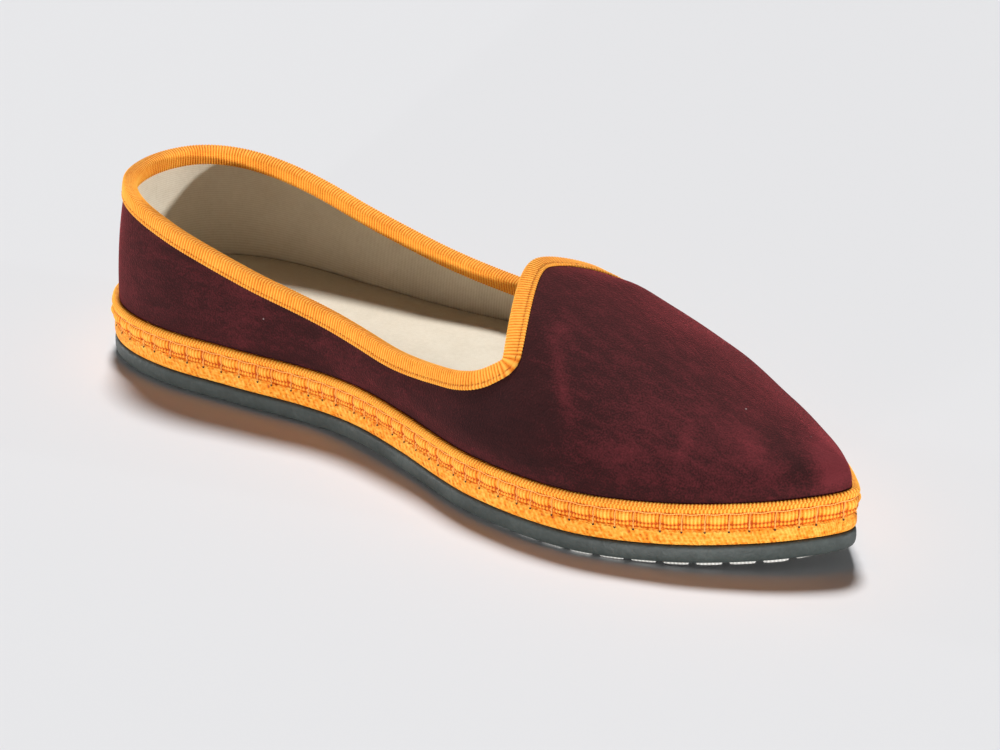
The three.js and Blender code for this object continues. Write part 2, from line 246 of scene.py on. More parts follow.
ORANGE = [(0.0, "#bf4d05"), (0.35, "#f98e16"), (1.0, "#ffc252")]
UNBLEACHED = [(0.0, "#c9bda6"), (0.5, "#dfd5c1"), (1.0, "#efe8d8")]
tape_cloth = cotton("orange_grosgrain_tape", ORANGE, RIB_PITCH, 0.45, 0.00015)
wrap_cloth = cotton("orange_woven_wrap", ORANGE, 1.3, 1.1, 0.0006, 0.9, 0.35)
lining_cloth = cotton("unbleached_cotton", UNBLEACHED, 0.45, 0.45, 0.00008)
orange_thread = cotton("orange_sewing_thread", [(0.0, "#f08726"), (1.0, "#ffc672")], 0.5, 0.4, 0.0001)
seam_thread = cotton("deep_orange_thread", [(0.0, "#b0500e"), (1.0, "#d4742a")], 0.5, 0.4, 0.0001)
white_thread = cotton("white_waxed_thread", [(0.0, "#b3b2ac"), (1.0, "#e4e3de")], 0.7, 0.5, 0.0001)

# %% [markdown]
# ### Tyre rubber and needle holes
# The sole is old tyre rubber: dark grey with a green cast, matt, with fine scuffs and some dust. The cut edge
# is smoother than the tread.

# %% Rubber and holes
rubber, tree, shader = new_material("tyre_rubber")
place = add(tree, "TexCoord", {}).outputs["Object"]
dust = add(tree, "TexNoise", {"Vector": place, "Scale": 1 / 0.02, "Detail": 6.0, "Roughness": 0.65})
specks = add(tree, "TexNoise", {"Vector": place, "Scale": 1 / 0.0012, "Detail": 2.0})
level = add(tree, "Math", {0: specks.outputs["Fac"], 1: 0.3, 2: dust.outputs["Fac"]},
            operation="MULTIPLY_ADD")
span = add(tree, "MapRange", {"Value": level.outputs[0], "From Min": 0.4, "From Max": 0.95})
rubber_colour = ramp(tree, span.outputs["Result"], [(0.0, "#2b312f"), (0.5, "#3b4240"), (1.0, "#4d5552")])
tree.links.new(rubber_colour, shader.inputs["Base Color"])
# The knife left shallow nicks about 2.5 mm long
nicks = add(tree, "TexNoise", {"Vector": place, "Scale": 1 / 0.0025, "Detail": 4.0, "Distortion": 1.0})
worn = add(tree, "Math", {0: nicks.outputs["Fac"], 1: 1.5, 2: level.outputs[0]}, operation="MULTIPLY_ADD")
# Fine ribs across the shoulders of the tyre, 0.8 mm apart, where the piece is marked for them
ribs = add(tree, "TexWave", {"Vector": place, "Scale": 2 * np.pi / 20 / 0.0008})
shoulder = add(tree, "Attribute", {}, attribute_name="shoulder")
ribbed = add(tree, "Math", {0: ribs.outputs["Fac"], 1: shoulder.outputs["Fac"], 2: worn.outputs[0]},
             operation="MULTIPLY_ADD")
bump = add(tree, "Bump", {"Height": ribbed.outputs[0], "Strength": 0.5, "Distance": 0.0004})
tree.links.new(bump.outputs["Normal"], shader.inputs["Normal"])
shader.inputs["Roughness"].default_value = 0.6
shader.inputs["IOR"].default_value = 1.52

hole_dark, tree, shader = new_material("needle_hole_shadow")
shader.inputs["Base Color"].default_value = colour("#3a1c0c")
shader.inputs["Roughness"].default_value = 0.95

# %% [markdown]
# ## The last
# A shoe is built over a last, a wooden form of the foot. Its outline is a closed smooth curve through a short
# table of half widths. From every point of the outline a rib rises as a quarter of an arch to the ridge, so
# the whole form is a function of two parameters: t round the outline and v up the rib.

# %% Table of the last
# Sizes in millimetres, and places along the foot as shares of its length
LENGTH, BALL_WIDTH, INSTEP_HEIGHT = 256.0, 84.0, 57.0
TOE_SPRING, TOE_START, ARCH_LIFT, ARCH_START, ARCH_SPAN = 5.0, 0.74, 0.8, 0.34, 0.22
MIDSOLE_TOP, GAP, WALL, UPPER_INSET = 15.0, 0.3, 2.0, 1.6
# Columns: inner and outer half width as shares of the ball's, crest as a share of the instep's height, and
# fullness of the rib's arch
SECTIONS = np.array([
    (0.010, -0.010, 1.510, 2.30),
    (0.218, 0.195, 1.500, 2.30),
    (0.353, 0.323, 1.470, 2.30),
    (0.400, 0.385, 1.400, 2.30),
    (0.370, 0.404, 1.300, 2.20),
    (0.330, 0.430, 1.180, 2.00),
    (0.400, 0.466, 1.045, 1.85),
    (0.502, 0.506, 0.945, 2.02),
    (0.504, 0.505, 0.806, 1.95),
    (0.398, 0.380, 0.662, 1.92),
    (0.248, 0.213, 0.578, 2.20),
    (0.106, 0.073, 0.546, 2.55),
    (0.008, -0.008, 0.536, 2.80),
])
TOE_ROW = len(SECTIONS) - 1
RING = 2 * TOE_ROW
INNER, OUTER, CREST, FULLNESS = range(4)
sideways = BALL_WIDTH * np.concatenate([-SECTIONS[:, INNER], SECTIONS[TOE_ROW - 1:0:-1, OUTER]])
crest_row, fullness_row = (
    np.concatenate([SECTIONS[:, k], SECTIONS[TOE_ROW - 1:0:-1, k]]) for k in (CREST, FULLNESS)
)
RIDGE_HEEL, RIDGE_TOE = 0.1, 0.969


def smooth_row(values, t):
    """A Catmull-Rom curve through a closed row of values, which it meets at whole t."""
    i = np.floor(t).astype(int)
    u = t - i
    a, b, c, d = (values[(i + k) % len(values)] for k in (-1, 0, 1, 2))
    return 0.5 * (2 * b + u * (c - a + u * (2 * a - 5 * b + 4 * c - d + u * (3 * b - a - 3 * c + d))))


def outline(t, offset=0.0):
    """The sole's outline at t, moved outwards by the offset along its normal."""
    def bare(s):
        return -LENGTH / 2 * np.cos(np.pi * s / TOE_ROW), smooth_row(sideways, s)
    (x, y), (x0, y0), (x1, y1) = bare(t), bare(t - 0.01), bare(t + 0.01)
    step = np.hypot(x1 - x0, y1 - y0)
    return x + offset * (y1 - y0) / step, y - offset * (x1 - x0) / step


def rise(x):
    """Lift of the sole off the floor: a low arch at the waist and the square-law spring of the toe."""
    along = x / LENGTH + 0.5
    toe = np.clip((along - TOE_START) / (1 - TOE_START), 0, 1)
    arch = np.clip((along - ARCH_START) / ARCH_SPAN, 0, 1)
    return TOE_SPRING * toe ** 2 + ARCH_LIFT * np.sin(np.pi * arch) ** 2


def last_point(t, v, inset=0.0):
    """A point of the last: up a superellipse from the outline (v = 0) to the ridge (v = 1) and beyond."""
    over = v > 1
    t = np.where(over, RING - t, t) % RING
    v = np.where(over, 2 - v, v)
    x, y = outline(t, -UPPER_INSET - inset)
    along = 0.5 - 0.5 * np.cos(np.pi * t / TOE_ROW)
    ridge_x = LENGTH * (RIDGE_HEEL + (RIDGE_TOE - RIDGE_HEEL) * along - 0.5)
    ridge_y = sideways[TOE_ROW] * along ** 3
    low = MIDSOLE_TOP + GAP + rise(x)
    crest = smooth_row(crest_row, t) * INSTEP_HEIGHT - inset
    power = 2 / smooth_row(fullness_row, t)
    inwards = 1 - np.clip(np.cos(np.pi / 2 * v), 0, 1) ** power
    upwards = np.clip(np.sin(np.pi / 2 * v), 0, 1) ** power
    x, y = x + (ridge_x - x) * inwards, y + (ridge_y - y) * inwards
    return np.stack([x, y, low + (crest - low) * upwards], axis=-1)


def last_slopes(t, v, inset=0.0):
    """Steps of the last along t and along v by central differences, and its outward unit normal."""
    h = 1e-3
    along = (last_point(t + h, v, inset) - last_point(t - h, v, inset)) / (2 * h)
    up = (last_point(t, v + h, inset) - last_point(t, v - h, inset)) / (2 * h)
    normal = np.cross(along, up)
    return along, up, normal / np.maximum(np.linalg.norm(normal, axis=-1, keepdims=True), 1e-9)


ends = np.round(outline(np.array([0.0, TOE_ROW])), 1)
print("the outline runs from", ends[:, 0], "at the heel to", ends[:, 1], "at the toe")

# %% [markdown]
# ## The mouth of the shoe
# The topline dips at the waist, turns a tight corner and climbs the throat to a rounded peak. In side view it
# is a curve of height over length, and in top view the throat is a rounded V. A point is in the mouth where
# it is above the one and behind the other. A soft minimum of the distances rounds the corner where they meet.

# %% Mouth and its edge
TOPLINE_START, TOPLINE_STEP = -0.06, 0.06
TOPLINE = np.array([53.0, 52.7, 51.5, 49.0, 45.5, 41.5, 38.0, 35.0, 33.0, 32.0, 33.2, 36.6, 44.5])
THROAT_ALONG, THROAT_SLOPE, THROAT_ROUND, CORNER_ALONG = 0.581, 0.6, 7.0, 0.638
CORNER_SHARPNESS, CORNER_ROOM = 1.6, 0.6
MOUTH_MIDDLE = np.array([-45.0, 2.0, 60.0])


def topline_height(x):
    """Height of the topline over x: a Catmull-Rom curve through the table, held level past its ends."""
    padded = np.concatenate([TOPLINE[:1], TOPLINE, TOPLINE[-1:], TOPLINE[-1:]])
    along = (x / LENGTH + 0.5 - TOPLINE_START) / TOPLINE_STEP
    return smooth_row(padded, np.clip(along, 0, len(TOPLINE) - 1) + 1)


def in_mouth(point):
    """Depth inside the mouth in mm: a soft minimum of the rooms over, behind and inside its edges."""
    x, y, z = np.moveaxis(point, -1, 0)
    throat = LENGTH * (THROAT_ALONG - 0.5) + THROAT_SLOPE * (np.hypot(y, THROAT_ROUND) - THROAT_ROUND)
    rooms = np.stack([z - topline_height(x), throat - x, LENGTH * (CORNER_ALONG - 0.5) + CORNER_ROOM - x])
    return -np.log(np.exp(-CORNER_SHARPNESS * np.clip(rooms, -60, 60)).sum(axis=0)) / CORNER_SHARPNESS


def halve(test, low, high, rounds=36):
    """The place between low and high where a test turns from true to false, by halving the interval."""
    for _ in range(rounds):
        middle = (low + high) / 2
        passed = test(middle)
        low, high = np.where(passed, middle, low), np.where(passed, high, middle)
    return (low + high) / 2


def locate(x, y):
    """The t and v of the last's point over a place in top view: first its rib, then the share up the rib."""
    along = np.clip((x / LENGTH + 0.5 - RIDGE_HEEL) / (RIDGE_TOE - RIDGE_HEEL), 0, 1)
    inner = y < sideways[TOE_ROW] * along ** 3

    def rib(t):
        foot_x, foot_y = outline(t, -UPPER_INSET)
        share = 0.5 - 0.5 * np.cos(np.pi * t / TOE_ROW)
        ridge_x = LENGTH * (RIDGE_HEEL + (RIDGE_TOE - RIDGE_HEEL) * share - 0.5)
        return foot_x, foot_y, ridge_x - foot_x, sideways[TOE_ROW] * share ** 3 - foot_y

    def ahead(t):
        foot_x, foot_y, dx, dy = rib(t)
        return dx * (y - foot_y) - dy * (x - foot_x) < 0

    t = halve(ahead, np.where(inner, -0.6, 11.4), np.where(inner, 12.6, 24.6))
    foot_x, foot_y, dx, dy = rib(t)
    inwards = np.clip(((x - foot_x) * dx + (y - foot_y) * dy) / (dx ** 2 + dy ** 2), 0, 1)
    cosine = (1 - inwards) ** (smooth_row(fullness_row, t) / 2)
    return t, np.arccos(np.clip(cosine, 0, 1)) * 2 / np.pi


def mouth_edge(angle):
    """The t and v of the mouth's edge, found along rays in top view from a place inside the mouth."""
    centre_x, centre_y = MOUTH_MIDDLE[:2]

    def still_inside(reach):
        t, v = locate(centre_x + reach * np.cos(angle), centre_y + reach * np.sin(angle))
        return in_mouth(last_point(t, v)) > 0

    reach = halve(still_inside, np.full_like(angle, 5.0), np.full_like(angle, 110.0), 30)
    return locate(centre_x + reach * np.cos(angle), centre_y + reach * np.sin(angle))


coarse = np.linspace(0, 2 * np.pi, 1200)
edge_points = last_point(*mouth_edge(coarse))
edge_length = np.concatenate([[0], np.cumsum(np.linalg.norm(np.diff(edge_points, axis=0), axis=1))])
edge_ribs = int(round(edge_length[-1] / RIB_PITCH))
edge_place = np.arange(4 * edge_ribs) * edge_length[-1] / (4 * edge_ribs)
edge_t, edge_v = mouth_edge(np.interp(edge_place, edge_length, coarse))
print(f"the mouth's edge is {edge_length[-1]:.0f} mm long and takes {edge_ribs} ribs of tape")

# %% [markdown]
# ## The velvet upper
# The velvet is the last's surface without the mouth. Real velvet isn't smooth: it bulges over the seam at the
# waist, sinks a little behind the toe and carries soft creases where the foot bends. Each of these is one row
# of a table: a place, a direction, a reach along and across it, and a depth. The edge is rough where faces
# were left out, but the tape covers it.

# %% Velvet upper
# Columns: middle x, y, z; direction x, y, z; half length, half width; height out of the surface (minus sinks)
SWELLS = np.array([
    (0, -34, 24, 1, -0.2, 0, 34, 5, 1.3),
    (33, -34, 34, 0.5, -0.2, -0.5, 10, 5, -0.7),
    (50, -25, 41, 0.45, -0.4, -0.6, 12, 3.5, 0.5),
    (30, 35, 32, 0.5, 0.3, -0.6, 11, 4, -0.6),
    (115, -6, 25, 0.4, 1, 0.2, 5, 3, -0.4),
    (106, -3, 28.5, 0.7, -0.7, -0.3, 9, 3.5, -0.4),
    (112, 6, 26, 0.8, -0.6, 0, 8, 4, 0.35),
    (88, -24, 29, 0.3, -0.6, -0.8, 9, 4, 0.4),
    (76, -33, 26, 0.2, -0.4, -0.9, 7, 4, -0.3),
    (60, 22, 40, 0.5, 0.8, -0.5, 14, 6, -0.4),
    (40, 12, 53, 0.5, 0.8, -0.3, 16, 7, 0.9),
    (32.6, 26.9, 44.7, 0.4, 0.9, -0.7, 8, 5, -2.3),
    (40, 19, 50, 0.4, 0.9, -0.5, 8, 5, 0.6),
    (-120, 4, 34, 0, 1, 0.2, 14, 5, -0.5),
])
# The same columns, where the last is how much lighter (minus, darker) the velvet is painted. Some rows are
# marks of the pile. Others are painted light: sheen along the rims and the border, brighter places on the toe,
# and painted shade in the toe's dents and low on the inner side
NAP_AND_LIGHT_MARKS = np.array([
    (51.5, -27, 41.5, 0.6, -0.5, -0.6, 9, 1.8, 0.45),
    (58, -32.5, 35, 0.6, -0.5, -0.6, 6, 2.5, 0.2),
    (43.2, -18.7, 48.2, 0.6, -0.5, -0.6, 5, 2.5, 0.3),
    (89.5, -24, 29.5, 0.2, -0.7, -0.7, 7, 1.8, 0.35),
    (95.5, -19.5, 30.6, 1, 0.3, -0.2, 7, 4, -0.05),
    (73, -34, 27.5, 1, 0.3, 0, 14, 5, 0.25),
    (108.1, -6.5, 32.1, 0.6, -0.3, -0.3, 5, 3.2, -0.2),
    (113.8, -8.2, 30.4, 0.9, -0.3, -0.4, 6, 2.6, -0.15),
    (118, -9.4, 27.7, 0.5, -0.1, -0.6, 4, 3.4, -0.4),
    (106, -13, 29.5, 0.8, -0.1, -0.6, 8, 2.5, 0.35),
    (120, 1, 28, 0.6, -0.8, 0, 12, 6, 1.2),
    (98, -14, 29, 1, 0.4, -0.3, 30, 14, 0.28),
    (98, 9, 32, 1, -0.3, -0.2, 26, 5, 0.15),
    (32, -34, 32, 1, -0.3, -0.2, 30, 15, -0.45),
    (45, -41, 18.5, 1, -0.1, 0, 40, 2, 0.35),
    (95, -24, 23, 1, 0.7, 0, 25, 2, 0.2),
    (-60, -30, 30, 0.3, 0, 1, 14, 5, 0.25),
    (-20, 36, 28, 0.3, 0, 1, 12, 6, 0.25),
    (60, 34, 34, 0.6, 0.4, -0.6, 16, 6, 0.25),
])


def bells(points, table):
    """Sum of soft marks: each row's strength falls off as a bell along and across its own direction."""
    direction = table[:, 3:6] / np.linalg.norm(table[:, 3:6], axis=1, keepdims=True)
    away = points[..., None, :] - table[:, 0:3]
    along = np.einsum("...rk,rk->...r", away, direction)
    across = np.sum(away ** 2, axis=-1) - along ** 2
    return (table[:, 8] * np.exp(-((along / table[:, 6]) ** 2) - across / table[:, 7] ** 2)).sum(axis=-1)


BORDER_TOP, SWELL_FADE = 17.5, 4.0


def swell(points):
    """Height of the velvet out of the last: the soft marks of the table, dying out behind the border."""
    over_border = points[..., 2] - rise(points[..., 0]) - BORDER_TOP
    return bells(points, SWELLS) * np.clip(over_border / SWELL_FADE, 0, 1)


# The cloth ends a little outside the mouth, under the tape. Its map is as long as the outline and a rib
EDGE_ROOM, MAP_ROUND, MAP_UP, CLOTH = 0.4, 620.0, 70.0, 0.7


def cloth_shell(inset, rounds, steps):
    """The last's surface at an inset on a grid of t and v, with the faces of the mouth left out."""
    t, v = np.meshgrid(np.arange(rounds) * RING / rounds, np.linspace(0, 1, steps), indexing="ij")
    points = last_point(t, v, inset)
    depth = in_mouth(points)
    points = points + last_slopes(t, np.clip(v, 0.002, 1), inset)[2] * swell(points)[..., None]
    faces, row, column = grid(rounds, steps, wrap_rows=True)
    kept = (depth.ravel()[faces] < -EDGE_ROOM).all(axis=1)
    uv = np.stack([row * MAP_ROUND / rounds, column * MAP_UP / steps], axis=-1)
    return points.reshape(-1, 3), faces[kept], uv[kept]


def thicken(piece, thickness, side):
    """A live Solidify that makes the sheet a closed cloth, to its inner side (-1) or outer side (1)."""
    wall = piece.modifiers.new("cloth", "SOLIDIFY")
    wall.thickness = thickness * MM
    wall.offset = side


points, faces, uv = cloth_shell(0.0, 480, 64)
# The velvet carries the table's pile marks together with its painted sheen and painted shade
upper = make_piece("velvet_upper", points, faces, velvet, uv, "upper",
                   {"nap_and_painted_light": bells(points, NAP_AND_LIGHT_MARKS)})
thicken(upper, CLOTH, -1)
points, faces, uv = cloth_shell(WALL, 360, 48)
lining = make_piece("cotton_lining", points, faces, lining_cloth, uv, None)
thicken(lining, CLOTH, 1)

# %% [markdown]
# ## The topline tape
# The tape is folded over the mouth's edge. Its cross-section is a U, given as a table of places across the
# tape and heights out of the velvet, and it is carried along the edge. To lie flat on the curved velvet the
# outer and inner strips walk over the last away from the edge, a small step at a time. A cosine along the
# path raises the ribs.

# %% Walking over the last
WALK_STEP = 0.5


def walk(t, v, heading, distance):
    """Moves over the last along a heading: each step solves for the change of t and v that covers it."""
    steps = max(1, int(np.ceil(distance / WALK_STEP)))
    for _ in range(steps):
        along, up, normal = last_slopes(t, v)
        heading = heading - normal * np.sum(heading * normal, -1, keepdims=True)
        heading = heading / np.linalg.norm(heading, axis=-1, keepdims=True)
        aa, bb, ab = (np.sum(p * q, -1) for p, q in ((along, along), (up, up), (along, up)))
        fa, fb = np.sum(along * heading, -1), np.sum(up * heading, -1)
        scale = distance / steps / (aa * bb - ab ** 2)
        t, v = t + scale * (bb * fa - ab * fb), v + scale * (aa * fb - ab * fa)
        flip = v > 1
        t, v = np.where(flip, RING - t, t), np.where(flip, 2 - v, v)
    return t, v, heading


# %% Topline tape
# Columns: place across the tape as a share of its width, or in mm beyond the edge where negative; height in
# mm; share of the ribs, which are lower at the edge beside the velvet
TAPE_PROFILE = np.array([
    (1.00, 0.05, 0.0), (1.03, 0.28, 0.5), (0.99, 0.52, 0.6), (0.92, 0.66, 0.7), (0.84, 0.68, 0.8),
    (0.78, 0.60, 0.9), (0.73, 0.58, 1.0), (0.68, 0.66, 1.0), (0.52, 0.76, 1.0), (0.35, 0.82, 1.0),
    (0.15, 0.86, 1.0), (-0.10, 0.88, 1.0), (-0.50, 0.66, 1.0), (-0.82, 0.10, 1.0), (-0.95, -1.00, 1.0),
    (-0.82, -2.15, 1.0), (-0.50, -2.80, 1.0), (-0.10, -3.10, 1.0), (0.30, -3.12, 1.0), (0.65, -3.10, 1.0),
    (1.00, -3.00, 1.0), (1.02, -2.30, 0.0), (0.50, -2.25, 0.0), (0.05, -2.20, 0.0), (-0.25, -1.90, 0.0),
    (-0.25, -0.10, 0.0), (0.05, 0.20, 0.0), (0.50, 0.15, 0.0),
])
OUTER_COLUMN, GROOVE_COLUMN, GROOVE_PAINTED_SHADE, RIB_HEIGHT = 8, 6, 0.15, 0.13
# Width walked over the last, and the tape's own width: wider at the throat, from x = 14 mm over 16 mm
WALK_WIDTH, REAR_WIDTH, WIDENING, WIDER_FROM, WIDER_OVER = 4.6, 4.0, 0.5, 14, 16

edge = last_point(edge_t, edge_v)
tangent = np.roll(edge, -1, axis=0) - np.roll(edge, 1, axis=0)
tangent /= np.linalg.norm(tangent, axis=1, keepdims=True)
edge_normal = last_slopes(edge_t, edge_v)[2]
away = np.cross(tangent, edge_normal)
away *= np.sign(np.sum(away * (edge - MOUTH_MIDDLE)))
tape_width = REAR_WIDTH + WIDENING * np.clip((edge[:, 0] - WIDER_FROM) / WIDER_OVER, 0, 1)
rib_wave = np.cos(np.arange(len(edge_t)) * np.pi / 2)

sections = []
for share, height in TAPE_PROFILE[:, :2]:
    if share <= 0:
        sections.append(edge + away * share + edge_normal * (height + swell(edge))[:, None])
        continue
    t, v, _ = walk(edge_t, edge_v, away, WALK_WIDTH * share)
    stretch = (tape_width / WALK_WIDTH)[:, None] - 1
    normal = last_slopes(t, v)[2]
    bed = last_point(t, v)
    sections.append(bed + away * stretch * WALK_WIDTH * share + normal * (height + swell(bed))[:, None])
tape_points = np.stack(sections, axis=1)
across = np.roll(tape_points, -1, axis=1) - np.roll(tape_points, 1, axis=1)
swelling = np.cross(np.repeat(tangent[:, None], len(TAPE_PROFILE), axis=1), across)
swelling /= np.linalg.norm(swelling, axis=2, keepdims=True)
swelling *= np.sign(np.sum(swelling[:, OUTER_COLUMN] * edge_normal))
tape_points = tape_points + swelling * (RIB_HEIGHT * rib_wave[:, None] * TAPE_PROFILE[:, 2])[..., None]
faces, row, column = grid(len(edge_t), len(TAPE_PROFILE), True, True)
uv = np.stack([row * edge_length[-1] / len(edge_t), column * 1.0], axis=-1)
# Painted shade darkens the two columns of the seam's groove
in_groove = np.isin(np.arange(len(TAPE_PROFILE)), (GROOVE_COLUMN - 1, GROOVE_COLUMN))
painted_shade_and_light = np.broadcast_to(GROOVE_PAINTED_SHADE * in_groove, tape_points.shape[:2])
make_piece("topline_tape_ribbed", tape_points.reshape(-1, 3), faces, tape_cloth, uv, "topline_tape",
           {"painted_shade_and_light": painted_shade_and_light})

# %% [markdown]
# ## The border
# Round the foot of the upper runs the same tape: a strip with a nubby edge, under it a soft roll that blanket
# stitches pull in to pillows every 6 mm, and under that a narrow fold. A profile of offset and height is
# carried round the outline, at equal steps of its length. The roll swells between two stitches as a half
# wave. Stitches made by hand aren't evenly spaced, so each is moved a little along the path.

# %% Path round the sole
fine_t = np.linspace(0, RING, 4001)
fine_length = np.concatenate([[0], np.cumsum(np.hypot(*np.diff(np.stack(outline(fine_t)), axis=1)))])
ROUND_LENGTH = fine_length[-1]
STITCH_PITCH, UNEVEN = 6.0, 0.16
stitches = int(round(ROUND_LENGTH / STITCH_PITCH))
uneven = np.random.default_rng(3).uniform(-UNEVEN, UNEVEN, stitches + 1)
uneven[[0, -1]] = 0
knots = (np.arange(stitches + 1) + uneven) * ROUND_LENGTH / stitches


def round_path(count):
    """The t of so many places at equal steps of length round the outline."""
    return np.interp(np.arange(count) * ROUND_LENGTH / count, fine_length, fine_t)


def round_points(t, offset, height):
    """Points beside the outline at an offset and a height, lifted with the sole."""
    x, y = outline(t, offset)
    return np.stack([x, y, height + rise(x)], axis=-1)


# %% Border tape
# Columns: offset from the outline, height, share of the ribs, share of the stitches' pull, painted shade
# (minus: painted light)
BORDER_PROFILE = np.array([
    (-2.10, 10.35, 0, 0, 0), (-1.20, 10.30, 0, 0, 0), (-0.75, 10.34, 0, 0, 0),
    (-0.55, 10.50, 0, 0.1, 1), (-0.05, 10.75, 0, 0.3, 0.6), (0.25, 11.05, 0, 0.5, 0.1),
    (0.32, 11.35, 0, 0.6, 0), (0.18, 11.65, 0, 0.7, 0.3), (-0.05, 11.85, 0, 0.8, 1),
    (0.36, 12.10, 0.2, 1, 0.3), (0.62, 12.50, 0.4, 1, -0.1), (0.78, 12.95, 0.5, 1, -0.25),
    (0.84, 13.40, 0.6, 1, -0.3), (0.76, 13.85, 0.6, 1, -0.3), (0.54, 14.25, 0.6, 0.9, -0.2),
    (0.15, 14.60, 0.5, 0.6, 0.3), (-0.25, 14.85, 0, 0.2, 0.9), (0.02, 15.15, -0.7, 0, 0.4),
    (0.28, 15.50, -1, 0, 0), (0.38, 15.95, -1, 0, 0), (0.35, 16.35, -0.5, 0, 0),
    (0.26, 16.65, 0.5, 0, 0), (0.06, 16.98, 1, 0, 0), (-0.30, 17.25, 1, 0, 0),
    (-0.85, 17.38, 1, 0, 0), (-1.75, 17.25, 0, 0, 0), (-1.75, 15.20, 0, 0, 0),
    (-2.10, 14.90, 0, 0, 0),
])
ROLL = slice(3, 17)
PINCH, PILLOW_POWER, PULL_PAINTED_SHADE = 1.0, 0.7, 0.9
CREASE_HEIGHT, CREASE_REACH, CREASE_WANDER = 11.85, 0.4, 0.16
NUBS_PER_STITCH, NUB_HEIGHT, SCALLOP, TOP_EDGE = 6, 0.19, 0.12, 16.9
border_ribs = NUBS_PER_STITCH * stitches
border_t = round_path(4 * border_ribs)
border_place = np.arange(4 * border_ribs) * ROUND_LENGTH / (4 * border_ribs)
phase = np.interp(border_place, knots, np.arange(stitches + 1))
rib_wave = np.cos(np.arange(4 * border_ribs) * np.pi / 2)[:, None]
pull = 1 - np.abs(np.sin(np.pi * phase))[:, None] ** PILLOW_POWER
profile_height, rib_share, pull_share = BORDER_PROFILE[:, 1], BORDER_PROFILE[:, 2], BORDER_PROFILE[:, 3]
offset = BORDER_PROFILE[:, 0] + NUB_HEIGHT * rib_wave * rib_share - PINCH * pull * pull_share
# The top edge is scalloped by its nubs, and the crease over the fold wanders up and down
wander = 0.6 * np.sin(2.3 * phase) + 0.4 * np.sin(5.2 * phase + 1.0)
near_crease = np.exp(-((profile_height - CREASE_HEIGHT) / CREASE_REACH) ** 2)
height = profile_height + SCALLOP * rib_wave * (rib_share > 0) * (profile_height > TOP_EDGE)
height = height + CREASE_WANDER * wander[:, None] * near_crease
# Painted shade in the stitches' pinches and along the creases, from the profile's last column; its minus
# values paint light on the roll's top
painted_shade_and_light = BORDER_PROFILE[:, 4] + PULL_PAINTED_SHADE * pull * pull_share
points = round_points(np.repeat(border_t[:, None], offset.shape[1], axis=1), offset, height)
faces, row, column = grid(*offset.shape, True, True)
# Where a rib's share is below 0 the cords of the cloth are half a pitch on
half_on = 2 * (rib_share < 0)[column % len(rib_share)]
uv = np.stack([(row + half_on) * RIB_PITCH / 4, column * 0.45], axis=-1)
make_piece("border_tape_ribbed", points.reshape(-1, 3), faces, tape_cloth, uv, "border_tape",
           {"painted_shade_and_light": painted_shade_and_light})

# %% [markdown]
# ## Threads
# A thread is a thin tube along a path, and many threads of one kind are one mesh. The paths are an array of
# threads, steps and places, and one function makes all their tubes at once. The radius shrinks to nothing at
# both ends, so each tube closes itself.

# %% Blanket stitches
def tubes(paths, radius, up, sides=6):
    """Closed round threads along paths [thread, step, xyz]: rings of sides square to the path."""
    steps = paths.shape[1]
    along = np.gradient(paths, axis=1)
    along /= np.linalg.norm(along, axis=2, keepdims=True)
    side = np.cross(along, up)
    side /= np.linalg.norm(side, axis=2, keepdims=True)
    lift = np.cross(side, along)
    turn = np.arange(sides) * 2 * np.pi / sides
    share = np.linspace(-1, 1, steps)
    swell_out = radius * np.sqrt(np.clip(1 - share ** 6, 0, 1))[:, None, None]
    ring = np.cos(turn)[:, None] * side[:, :, None] + np.sin(turn)[:, None] * lift[:, :, None]
    points = paths[:, :, None] + swell_out * ring
    one, row, column = grid(steps, sides, False, True)
    starts = np.arange(len(paths)) * steps * sides
    faces = (one[None] + starts[:, None, None]).reshape(-1, 4)
    uv = np.tile(np.stack([row * 0.7, column * 0.4], axis=-1), (len(paths), 1, 1))
    return points.reshape(-1, 3), faces, uv


THREAD_RADIUS, STITCH_TOP, STITCH_DROP, STITCH_LEAN, STAND_OFF = 0.24, 15.05, 5.3, 0.07, 0.16
# A direction that no upright stitch runs along, from which the sides of its tube are worked out
ACROSS = np.array([1.0, 0.3, 0.1])
hang = np.linspace(0, 1, 14)
# The side that the stitch lies on, from the midsole's wrap up to the linking thread: height, offset, pull
SIDE = np.concatenate([
    [(9.0, -0.10, 0), (9.8, -0.25, 0), (10.2, -0.45, 0)],
    BORDER_PROFILE[ROLL][:, [1, 0, 3]],
    [(15.1, 0.0, 0)],
])
stitch_place = knots[:-1, None] + STITCH_PITCH * STITCH_LEAN * (1 - hang) ** 4
stitch_t = np.interp(stitch_place % ROUND_LENGTH, fine_length, fine_t)
stitch_height = np.broadcast_to(STITCH_TOP - STITCH_DROP * hang, stitch_t.shape)
side_offset = np.interp(stitch_height, SIDE[:, 0], SIDE[:, 1] - PINCH * SIDE[:, 2])
paths = round_points(stitch_t, side_offset + STAND_OFF, stitch_height)
points, faces, uv = tubes(paths, THREAD_RADIUS, ACROSS)
make_piece("blanket_stitches", points, faces, orange_thread, uv)

# %% [markdown]
# The thread that links the tops of the blanket stitches runs on round the whole shoe. It is one closed tube,
# with a small dip in each gap, and below each stitch there is the dark hole that the needle left.

